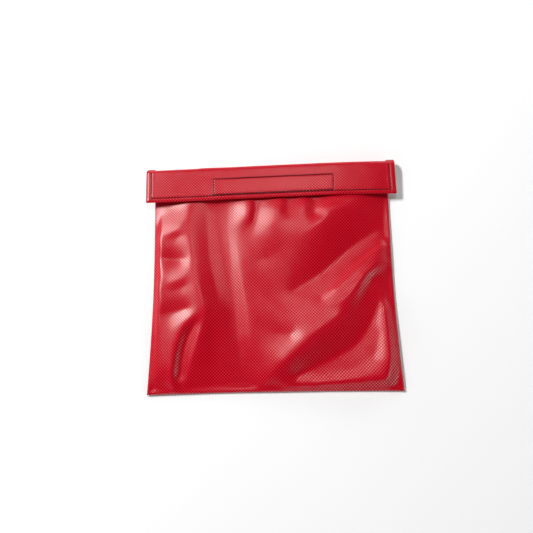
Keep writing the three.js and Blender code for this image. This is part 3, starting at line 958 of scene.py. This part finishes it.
class POUCH_OT_front(bpy.types.Operator):
    """Front panel, with the turned hem at its mouth"""

    bl_idname = "pouch.front"
    bl_label = "Front"

    def execute(self, context):
        vinyl = materials()["coated_vinyl"]
        u = spread(-BODY_HALF, BODY_HALF, CLOTH_STEP, EDGE_ROLL, EDGE_ROLL)
        v = spread(BODY_END, MOUTH - LIP, CLOTH_STEP, EDGE_ROLL)
        across, along = np.meshgrid(u, v)
        points = front_point(across, along)
        bend = curvature(resample(front_relief.heights, *across.shape))
        crease = np.clip(-bend * 6, 0, 1)
        mesh = cloth_mesh("front_cloth", points, np.stack([across, along], -1), crease=crease)
        front = piece("front_cloth", mesh, vinyl)
        hem = self.mouth_hem(vinyl)
        for obj, node in ((front, "front_panel"), (hem, "mouth_hem")):
            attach(obj, "pouch")
            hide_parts(node)
        return {"FINISHED"}

    def mouth_hem(self, vinyl):
        reach = BODY_HALF - 4 * MM
        inner = MOUTH_HEM_HIGH.x
        width = MOUTH_HEM_HIGH.y - MOUTH_HEM_LOW.y

        def place(run, depth, level):
            tucked = np.where(np.abs(run) > inner, np.minimum(depth, 1.1 * MM), depth)
            height = front_relief(run, MOUTH - np.maximum(tucked, LIP))
            lift = seam_lift(run, MOUTH) * (1 - smooth((BODY_HALF - np.abs(run)) / (22 * MM)))
            x, y = bowed(run, MOUTH - tucked)
            return np.stack([x, y, height + lift + level], -1)

        runs = np.arange(-reach, reach, HEM_STEP)
        points, flat = section_mesh(turned_edge(width, LIP), runs, place)
        mesh = cloth_mesh("mouth_hem_ply", points, flat, flip=True)
        return piece("mouth_hem_ply", mesh, vinyl)


class POUCH_OT_back(bpy.types.Operator):
    """Back panel up to the middle of the fold, and the seams turned inside the body"""

    bl_idname = "pouch.back"
    bl_label = "Back and fold"

    def execute(self, context):
        vinyl = materials()["coated_vinyl"]
        u = spread(-BODY_HALF, BODY_HALF, BACK_STEP, BACK_ROLL, BACK_ROLL)
        bend_start = FOLD_FACE - FOLD_RADIUS
        v = spread(BODY_END, bend_start, BACK_STEP, BACK_ROLL)
        across, along = np.meshgrid(u, v)
        lower = back_point(across, along)
        turn = np.linspace(0, math.pi / 2, 13)[1:]
        y = bend_start + FOLD_RADIUS * np.sin(turn)
        z = FOLD_RADIUS * (1 - np.cos(turn))
        y = np.append(y, FOLD_FACE)
        z = np.append(z, FLAP_TOP / 2)
        wide, high = np.meshgrid(u * FLAP_HALF / BODY_HALF, y)
        upper = draped(wide, high, np.broadcast_to(z[:, None], wide.shape))
        points = np.concatenate([lower, upper])
        fold_length = FOLD_RADIUS * math.pi / 2 + FLAP_TOP / 2 - FOLD_RADIUS
        length = bend_start + np.append(turn * FOLD_RADIUS, fold_length)
        flat_v = np.concatenate([v, length])
        flat = np.stack(np.meshgrid(u, flat_v), -1)
        mesh = cloth_mesh("back_cloth", points, flat, flip=True)
        back = piece("back_cloth", mesh, vinyl)
        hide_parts("back_panel", "flap_fold")
        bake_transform(back)
        for node in ("left_seam_allowance", "right_seam_allowance", "bottom_seam_allowance"):
            self.allowance(node, vinyl)
        return {"FINISHED"}

    def allowance(self, node, vinyl):
        """Two cut edges lying one on the other inside the seam."""
        low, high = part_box(node)
        bottom = node.startswith("bottom")
        run = np.arange(low.x if bottom else low.y, high.x if bottom else high.y, BACK_STEP)
        side = -1 if low.x < 0 else 1
        wall = 1.8 * MM
        depth = np.linspace(wall, wall + 8.5 * MM, 8)
        meshes = []
        for ply, level in enumerate((low.z + PLY - 0.05 * MM, low.z + 2 * PLY)):
            along, inward = np.meshgrid(run, depth, indexing="ij")
            ragged = 0.3 * MM * np.sin(along / (7 * MM) + 2 * ply) * (inward > depth[-2])
            if bottom:
                u, v = along, BODY_END + inward + ragged
            else:
                u, v = side * (BODY_HALF - inward - ragged), along
            x, y = bowed(u, v)
            edge = np.minimum(BODY_HALF - np.abs(u), v - BODY_END)
            lift = seam_lift(u, v) * (1 - smooth(edge / (22 * MM)))
            points = np.stack([x, y, level + lift], -1)
            flat = np.stack([u, v], -1)
            meshes.append(cloth_mesh(f"{node}_ply_{ply}", points, flat, flip=bottom or side > 0))
        obj = joined(f"{node}_plies", meshes, vinyl)
        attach(obj, "pouch")
        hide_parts(node)


class POUCH_OT_flap(bpy.types.Operator):
    """Flap, from the middle of the fold to its lower edge, with its three turned hems"""

    bl_idname = "pouch.flap"
    bl_label = "Flap and hems"

    def section(self):
        """The flap's outer side from the middle of the fold to its lower hem: y, z and length along it."""
        turn = np.linspace(math.pi / 2, 0, 15)
        y = FOLD_FACE - FOLD_RADIUS + FOLD_RADIUS * np.sin(turn)
        z = FLAP_TOP - FOLD_RADIUS * (1 - np.cos(turn))
        level = np.arange(FOLD_FACE - FOLD_RADIUS - 0.65 * MM, FLAP_EDGE + LIP + 0.3 * MM, -0.65 * MM)
        y = np.concatenate([[FOLD_FACE], y, level, [FLAP_EDGE + LIP]])
        z = np.concatenate([[FLAP_TOP / 2], z, np.full(len(level) + 1, FLAP_TOP)])
        run = np.concatenate([[0], np.cumsum(np.hypot(np.diff(y), np.diff(z)))])
        return y, z, run

    def execute(self, context):
        vinyl = materials()["coated_vinyl"]
        pitch = context.scene.pouch_thread.pitch
        y, z, run = self.section()
        x = np.arange(-FLAP_HALF + LIP, FLAP_HALF - LIP, 0.7 * MM)
        x = np.append(x, FLAP_HALF - LIP)
        across, along = np.meshgrid(x, y)
        up = np.broadcast_to(z[:, None], across.shape)
        points = draped(across, along, up)
        points[..., 2] += flap_detail(across, along, pitch) * (up > FLAP_TOP - 0.5 * MM)
        flat = np.stack([across, np.broadcast_to(-run[:, None], across.shape)], -1)
        mesh = cloth_mesh("flap_cloth", points, flat, flip=True)
        flap = piece("flap_cloth", mesh, vinyl)
        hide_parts("flap_panel")
        hems = [self.side_hem(vinyl, -1), self.side_hem(vinyl, 1), self.lower_hem(vinyl)]
        for obj in [flap] + hems:
            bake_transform(obj)
        return {"FINISHED"}

    def side_hem(self, vinyl, side):
        """The side's turned edge, carried from the middle of the fold down to a mitre at the corner."""
        y, z, run = self.section()
        y = y[1:]
        z = z[1:]
        section = turned_edge(SIDE_HEM, LIP)
        depth = np.array([d for d, _ in section])
        level = np.array([v for _, v in section])
        slope_y = np.gradient(y)
        slope_z = np.gradient(z)
        size = np.hypot(slope_y, slope_z)
        in_y = slope_z / size
        in_z = -slope_y / size
        room = np.maximum(y - FLAP_EDGE - MITRE_GAP, LIP)
        inward = np.minimum(depth[None, :], room[:, None])
        x = side * (FLAP_HALF - inward)
        below = level[None, :]
        points = draped(x, y[:, None] + below * in_y[:, None] * -1, np.broadcast_to(z[:, None], x.shape))
        points[..., 2] += below * np.abs(in_z[:, None])
        length = np.concatenate([[0], np.cumsum(np.hypot(np.diff(depth), np.diff(level)))])
        flat = np.stack(np.meshgrid(length, -run[1:]), -1)
        name = "flap_left_hem" if side < 0 else "flap_right_hem"
        mesh = cloth_mesh(name + "_ply", points, flat, flip=side < 0)
        hem = piece(name + "_ply", mesh, vinyl)
        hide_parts(name)
        return hem

    def lower_hem(self, vinyl):
        """The lower edge's turned hem, mitred at both corners."""
        section = turned_edge(HEM_HIGH.y - HEM_LOW.y, LIP)

        def place(run, depth, level):
            room = np.maximum(FLAP_HALF - np.abs(run) - MITRE_GAP, 0.1 * MM)
            inward = np.where(depth > LIP, np.minimum(depth, np.maximum(room, LIP)), depth)
            points = draped(run, FLAP_EDGE + inward, np.full(run.shape, FLAP_TOP))
            points[..., 2] += level
            return points

        runs = np.linspace(-FLAP_HALF + MITRE_GAP, FLAP_HALF - MITRE_GAP, 300)
        points, flat = section_mesh(section, runs, place)
        mesh = cloth_mesh("flap_lower_hem_ply", points, flat)
        hem = piece("flap_lower_hem_ply", mesh, vinyl)
        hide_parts("flap_lower_hem")
        return hem


class POUCH_OT_tapes(bpy.types.Operator):
    """Hook tape under the flap and loop tape on the front"""

    bl_idname = "pouch.tapes"
    bl_label = "Hook and loop tapes"

    def backing(self, name, low, high, top, tape, flip, place):
        """The woven backing, a flat strip with rounded selvedges."""
        x = spread(low.x, high.x, 2 * MM, 0.6 * MM, 0.6 * MM)
        y = spread(low.y, high.y, 1 * MM, 0.6 * MM, 0.6 * MM)
        across, along = np.meshgrid(x, y)
        from_end = np.minimum(across - low.x, high.x - across)
        edge = np.minimum(from_end, np.minimum(along - low.y, high.y - along))
        round_off = 0.15 * MM * (1 - smooth(edge / (0.6 * MM)))
        level = top + (round_off if flip else -round_off)
        points = place(across, along, level)
        return cloth_mesh(name, points, np.stack([across, along], -1), thickness=tape.backing, flip=flip)

    def pile(self, name, low, high, tape, seed, hooks):
        """Hooks or loops, on a level face at the origin."""
        values = {
            "Length": high.x - low.x - 1.6 * MM,
            "Width": high.y - low.y - 2 * tape.selvedge,
            "Columns": 92 if hooks else 120,
            "Rows": 12 if hooks else 15,
            "Height": high.z - low.z - tape.backing - 0.05 * MM,
            "Open": 0.45 if hooks else 0.0,
            "Filament": 0.17 * MM if hooks else 0.1 * MM,
            "Disorder": 0.12 if hooks else 0.9,
            "Seed": seed,
            "Material": materials()["nylon_filament"],
        }
        tree = bpy.data.node_groups.get("tape_pile") or pile_tree()
        return grown(name, bpy.data.meshes.new(name), tree, values)

    def laid(self, mesh, low, high, level, down, place):
        """The pile's mesh moved from the origin to the tape's face."""
        co = np.zeros(len(mesh.vertices) * 3)
        mesh.vertices.foreach_get("co", co)
        co = co.reshape(-1, 3)
        side = -1 if down else 1
        x = co[:, 0] + (low.x + high.x) / 2
        y = co[:, 1] * side + (low.y + high.y) / 2
        points = place(x, y, level + co[:, 2] * side)
        mesh.vertices.foreach_set("co", points.ravel())
        mesh.update()
        return mesh

    def execute(self, context):
        tape = context.scene.pouch_tape
        tape_cloth = materials()["woven_tape"]

        def on_front(x, y, z):
            return np.stack(np.broadcast_arrays(x, y, z), -1)

        def on_flap(x, y, z):
            points = draped(x, y, np.full(np.shape(x), FLAP_TOP))
            points[..., 2] += z - FLAP_TOP
            return points

        loop_face = LOOP_LOW.z + tape.backing
        hook_face = HOOK_HIGH.z - tape.backing
        loop = [self.backing("loop_backing", LOOP_LOW, LOOP_HIGH, loop_face, tape, False, on_front),
                self.laid(self.pile("loop_pile", LOOP_LOW, LOOP_HIGH, tape, 3, False),
                          LOOP_LOW, LOOP_HIGH, loop_face, False, on_front)]
        hook = [self.backing("hook_backing", HOOK_LOW, HOOK_HIGH, hook_face, tape, True, on_flap),
                self.laid(self.pile("hook_pile", HOOK_LOW, HOOK_HIGH, tape, 5, True),
                          HOOK_LOW, HOOK_HIGH, hook_face, True, on_flap)]
        for (backing, pile), node, body in ((loop, "loop_tape", "pouch"), (hook, "hook_tape", "flap")):
            base = piece(node + "_backing", backing, tape_cloth)
            fuzz = piece(node + ("_loops" if node.startswith("loop") else "_hooks"), pile,
                         materials()["nylon_filament"])
            for obj in (base, fuzz):
                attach(obj, body)
            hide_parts(node)
        return {"FINISHED"}


class POUCH_OT_stitching(bpy.types.Operator):
    """Every row of stitches, needle thread on one side and bobbin thread on the other"""

    bl_idname = "pouch.stitching"
    bl_label = "Stitching"

    def row(self, node, corners, surface, down, colour, body, closed=False):
        """Stitches along straight runs between corners, on a surface that gives each point's place."""
        thread = bpy.context.scene.pouch_thread
        points = []
        ends = corners + corners[:1] if closed else corners
        for a, b in zip(ends[:-1], ends[1:]):
            length = math.dist(a, b)
            count = max(1, round(length / thread.pitch)) * 4
            share = np.arange(count)[:, None] / count
            points.append(np.array(a) + (np.array(b) - np.array(a)) * share)
        points.append(np.array([ends[-1]]))
        flat = np.concatenate(points)
        places = surface(flat[:, 0], flat[:, 1])
        mirror = np.array([1, 1, -1 if down else 1])
        mesh = bpy.data.meshes.new(node)
        mesh.from_pydata((places * mirror).tolist(), [(i, i + 1) for i in range(len(places) - 1)], [])
        tree = bpy.data.node_groups.get("stitch_row") or stitch_tree()
        values = {"Pitch": thread.pitch, "Thread": thread.size, "Arch": 1.5 * thread.size,
                  "Seed": thread.seed + len(node), "Material": materials()["sewn_" + colour]}
        stitches = grown(node + "_stitches", mesh, tree, values)
        if down:
            stitches.transform(Matrix.Scale(-1, 4, (0, 0, 1)))
            stitches.flip_normals()
        obj = piece(node + "_stitches", stitches, materials()["sewn_" + colour])
        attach(obj, body)
        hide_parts(node)

    def rectangle(self, low, high, inset):
        (x0, y0), (x1, y1) = tape_outline(low, high, inset)
        return [(x0, y0), (x1, y0), (x1, y1), (x0, y1)]

    def execute(self, context):
        pitch = context.scene.pouch_thread.pitch

        def flap_top(x, y):
            points = draped(x, y, np.full(x.shape, FLAP_TOP))
            points[..., 2] += flap_detail(x, y, pitch) + 0.08 * MM
            return points

        def flap_under(depth):
            def surface(x, y):
                points = draped(x, y, np.full(x.shape, FLAP_TOP))
                points[..., 2] -= depth
                return points
            return surface

        def front_top(offset):
            def surface(x, y):
                return np.stack([*bowed(x, y), front_relief(x, y) + offset], -1)
            return surface

        def level(z):
            def surface(x, y):
                return np.stack([x, y, np.full(x.shape, z)], -1)
            return surface

        def seam(z):
            def surface(u, v):
                edge = np.minimum(BODY_HALF - np.abs(u), v - BODY_END)
                lift = seam_lift(u, v) * (1 - smooth(edge / (22 * MM)))
                return np.stack([*bowed(u, v), z + lift], -1)
            return surface

        hook = self.rectangle(HOOK_LOW, HOOK_HIGH, TAPE_STITCH_INSET)
        loop = self.rectangle(LOOP_LOW, LOOP_HIGH, LOOP_STITCH_INSET)
        side = FLAP_HALF - SIDE_HEM_STITCH
        low = FLAP_EDGE + LOWER_HEM_STITCH
        top = FOLD_FACE - 5.6 * MM
        hems = [(-side, top), (-side, low), (side, low), (side, top)]
        reach = MOUTH_HEM_HIGH.x - 2 * MM
        mouth = [(-reach, MOUTH - MOUTH_HEM_STITCH), (reach, MOUTH - MOUTH_HEM_STITCH)]
        in_seam = BODY_HALF - 1.15 * MM
        body = [(-in_seam, MOUTH - 2 * MM), (-in_seam, BODY_END + 1.15 * MM),
                (in_seam, BODY_END + 1.15 * MM), (in_seam, MOUTH - 2 * MM)]
        rows = (
            ("hook_tape_needle_thread", hook, flap_top, False, "black_thread", "flap", True),
            ("hook_tape_bobbin_thread", hook, flap_under(FLAP_TOP - HOOK_LOW.z - 0.45 * MM), True,
             "black_thread", "flap", True),
            ("flap_hem_needle_thread", hems, flap_top, False, "black_thread", "flap", False),
            ("flap_hem_bobbin_thread", hems, flap_under(FLAP_TOP - HEM_LOW.z), True,
             "black_thread", "flap", False),
            ("loop_tape_needle_thread", loop, level(LOOP_LOW.z + 0.55 * MM), False,
             "black_thread", "pouch", True),
            ("loop_tape_bobbin_thread", loop, front_top(-3 * PLY), True, "black_thread", "pouch", True),
            ("mouth_hem_needle_thread", mouth, front_top(0.05 * MM), False, "black_thread", "pouch", False),
            ("mouth_hem_bobbin_thread", mouth, front_top(-2 * LIP), True, "black_thread", "pouch", False),
            ("body_seam_needle_thread", body, seam(2.0 * MM), False, "red_thread", "pouch", False),
            ("body_seam_bobbin_thread", body, seam(0.95 * MM), True, "red_thread", "pouch", False),
        )
        for row in rows:
            self.row(*row)
        return {"FINISHED"}


class POUCH_PT_panel(bpy.types.Panel):
    """The pouch's pieces, in making order"""

    bl_idname = "POUCH_PT_panel"
    bl_label = "Vinyl Pouch"
    bl_space_type = "VIEW_3D"
    bl_region_type = "UI"
    bl_category = "Pouch"

    def draw(self, context):
        for operator in OPERATORS:
            self.layout.operator(operator.bl_idname)
        for group in GROUPS:
            settings = getattr(context.scene, GROUPS[group])
            for name in group.__annotations__:
                self.layout.prop(settings, name)


OPERATORS = (POUCH_OT_stage, POUCH_OT_front, POUCH_OT_back, POUCH_OT_flap, POUCH_OT_tapes,
             POUCH_OT_stitching)
GROUPS = {PouchCloth: "pouch_cloth", PouchTape: "pouch_tape", PouchThread: "pouch_thread",
          PouchStage: "pouch_stage"}


def register():
    for group, name in GROUPS.items():
        bpy.utils.register_class(group)
        setattr(bpy.types.Scene, name, PointerProperty(type=group))
    for operator in OPERATORS:
        bpy.utils.register_class(operator)
    bpy.utils.register_class(POUCH_PT_panel)


def unregister():
    bpy.utils.unregister_class(POUCH_PT_panel)
    for operator in reversed(OPERATORS):
        bpy.utils.unregister_class(operator)
    for group, name in GROUPS.items():
        delattr(bpy.types.Scene, name)
        bpy.utils.unregister_class(group)


def main():
    register()
    for operator in OPERATORS:
        family, name = operator.bl_idname.split(".")
        getattr(getattr(bpy.ops, family), name)()


if __name__ == "__main__":
    main()
